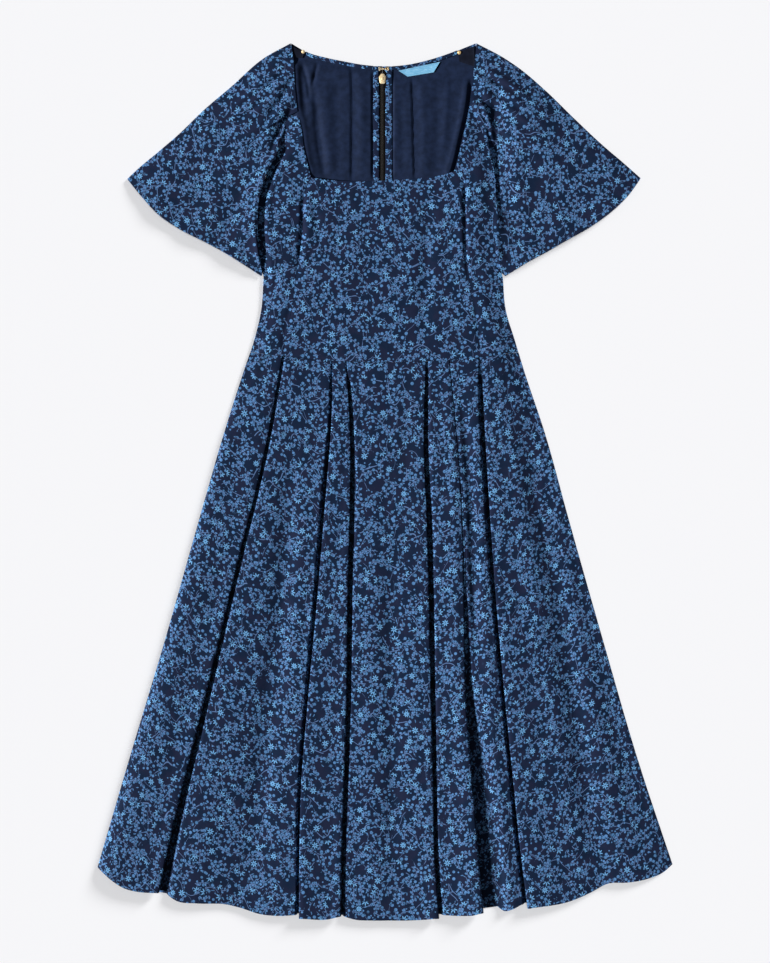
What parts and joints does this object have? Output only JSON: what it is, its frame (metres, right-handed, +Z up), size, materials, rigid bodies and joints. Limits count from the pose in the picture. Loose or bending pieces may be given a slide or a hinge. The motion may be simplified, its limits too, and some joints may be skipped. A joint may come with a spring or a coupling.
{
  "type": "square neck midi dress",
  "caption": "Flat-laid midi dress with a square neck, flutter sleeves, bust seams, a pleated flared skirt and a back zip.",
  "frame": {"origin": "middle of the dress's outline, on the surface it lies on", "axes": "+Y from the hem to the neck, +X to the right as seen from above, +Z up out of the dress's front"},
  "size_m": [0.8051, 1.2279, 0.0095],
  "materials": {
    "printed_cotton": "matt woven cotton, navy with a small blue vine and flower print",
    "navy_lining": "plain matt navy lining",
    "dark_ribbon": "dark navy ribbon",
    "blue_ribbon": "plain pale blue woven ribbon, bare",
    "zip_tape": "black woven zip tape",
    "gold_metal": "polished pale gold metal"
  },
  "bodies": {
    "dress": {"skirt_front": "printed_cotton", "bodice_front_centre": "printed_cotton", "bodice_front_side_left": "printed_cotton", "bodice_front_side_right": "printed_cotton", "sleeve_left": "printed_cotton", "sleeve_right": "printed_cotton", "bodice_back_left": "printed_cotton", "bodice_back_right": "printed_cotton", "skirt_back_left": "printed_cotton", "skirt_back_right": "printed_cotton", "neck_band_left": "printed_cotton", "neck_band_right": "printed_cotton", "zip_facing_left": "printed_cotton", "zip_facing_right": "printed_cotton", "lining_back_left": "navy_lining", "lining_back_right": "navy_lining", "strap_keeper_left": "dark_ribbon", "strap_keeper_right": "dark_ribbon", "neck_label": "blue_ribbon", "zip_tape_left": "zip_tape", "zip_tape_right": "zip_tape", "zip_slider": "gold_metal", "hook": "gold_metal", "hook_eye": "gold_metal", "keeper_snap_left": "gold_metal", "keeper_snap_right": "gold_metal"},
    "pull_tab": {"zip_pull_tab": "gold_metal"}
  },
  "joints": [
    {"name": "pull_tab_hinge", "type": "hinge", "parent": "dress", "child": "pull_tab", "pos_m": [-0.0042, 0.5545, 0.00068], "axis": [1, 0, 0], "range_deg": [0, 150]}
  ]
}
